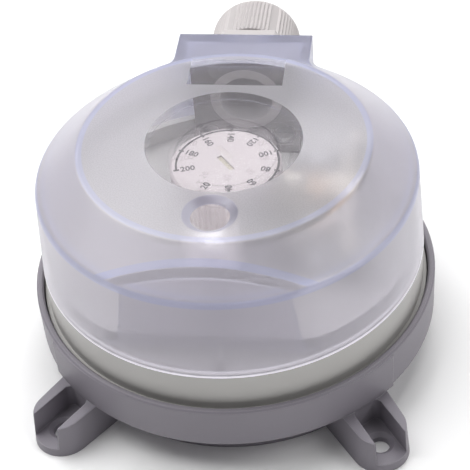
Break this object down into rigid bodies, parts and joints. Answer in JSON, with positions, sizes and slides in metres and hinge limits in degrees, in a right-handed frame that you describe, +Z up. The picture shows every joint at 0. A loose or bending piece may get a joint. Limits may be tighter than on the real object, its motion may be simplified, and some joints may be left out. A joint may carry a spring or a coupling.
{
  "type": "differential pressure switch",
  "caption": "Round air pressure switch with a ribbed setting knob under a clear screwed cover, a cable gland, two hose tubes and two screw ears.",
  "frame": {"origin": "on the axis of the round rim, at the underside of the base", "axes": "+Z up through the setting knob to the cover's top, +Y back along the cable gland, -Y towards the screw ears, +X to the right"},
  "size_m": [0.085, 0.1029, 0.05],
  "materials": {
    "grey_base": "moulded mid-grey plastic, fine satin",
    "off_white_body": "moulded off-white plastic, satin",
    "clear_cover": "clear moulded plastic, satin outside with polished windows",
    "dial_white": "white plastic with a printed black scale",
    "beige_spindle": "beige plastic",
    "white_plastic": "white moulded plastic",
    "light_grey_gland": "light grey nylon, satin",
    "dark_grey_holder": "dark grey plastic",
    "black_insulator": "black moulded insulator",
    "plate_plastic": "white moulded plastic",
    "plunger_acetal": "white acetal, smooth",
    "washer_nylon": "natural nylon",
    "cage_nylon": "light grey nylon",
    "rubber": "soft black rubber",
    "brass": "turned brass",
    "brass_blade": "pressed and tinned brass",
    "steel": "zinc-plated steel",
    "spring_steel": "drawn spring steel",
    "lever_bronze": "thin phosphor bronze",
    "contact_silver": "silver contact"
  },
  "bodies": {
    "housing": {"base": "grey_base", "body_screws": "steel", "diaphragm": "rubber", "plunger_bush": "brass", "body": "off_white_body", "cover_seal": "rubber", "spring_tower": "white_plastic", "tower_screws": "steel", "range_spring": "spring_steel", "contact_carrier": "black_insulator", "carrier_screws": "steel", "lever_pin": "steel", "lower_terminal": "brass_blade", "lower_contact": "contact_silver", "upper_terminal": "brass_blade", "upper_contact": "contact_silver", "common_terminal": "brass_blade", "cover": "clear_cover", "cover_screw": "steel", "screw_washer": "washer_nylon", "gland_holder": "dark_grey_holder", "holder_screws": "steel", "gland_body": "light_grey_gland", "gland_seal": "rubber", "gland_cage": "cage_nylon"},
    "knob": {"knob": "dial_white", "spindle": "beige_spindle", "spindle_clip": "steel"},
    "nut": {"spring_nut": "brass"},
    "plunger": {"plunger": "plunger_acetal", "diaphragm_plate": "plate_plastic", "spring_cup": "brass"},
    "lever": {"contact_lever": "lever_bronze", "lever_contact": "contact_silver"},
    "gland_cap": {"gland_cap": "light_grey_gland"}
  },
  "joints": [
    {"name": "knob_turn", "type": "hinge", "parent": "housing", "child": "knob", "pos_m": [0, 0, 0.044], "axis": [0, 0, 1], "range_deg": [-288, 36]},
    {"name": "nut_slide", "type": "slide", "parent": "housing", "child": "nut", "axis": [0, 0, 1], "range_m": [-0.0024, 0.0003], "deforming": ["range_spring"]},
    {"name": "plunger_slide", "type": "slide", "parent": "housing", "child": "plunger", "axis": [0, 0, 1], "range_m": [0, 0.0008], "stiffness_N_per_m": 300, "springref_m": -0.0002, "deforming": ["diaphragm", "range_spring"]},
    {"name": "lever_tilt", "type": "hinge", "parent": "housing", "child": "lever", "pos_m": [0.014, 0, 0.0292], "axis": [0, 1, 0], "range_deg": [0, 3.3]},
    {"name": "gland_cap_turn", "type": "hinge", "parent": "housing", "child": "gland_cap", "pos_m": [0, 0.053, 0.035], "axis": [0, 1, 0], "range_deg": [0, 180]}
  ],
  "couplings": [
    {"joint": "knob_turn", "follows": "nut_slide", "rad_per_m": 2094.4},
    {"joint": "lever_tilt", "follows": "plunger_slide", "rad_per_m": 71.43}
  ]
}
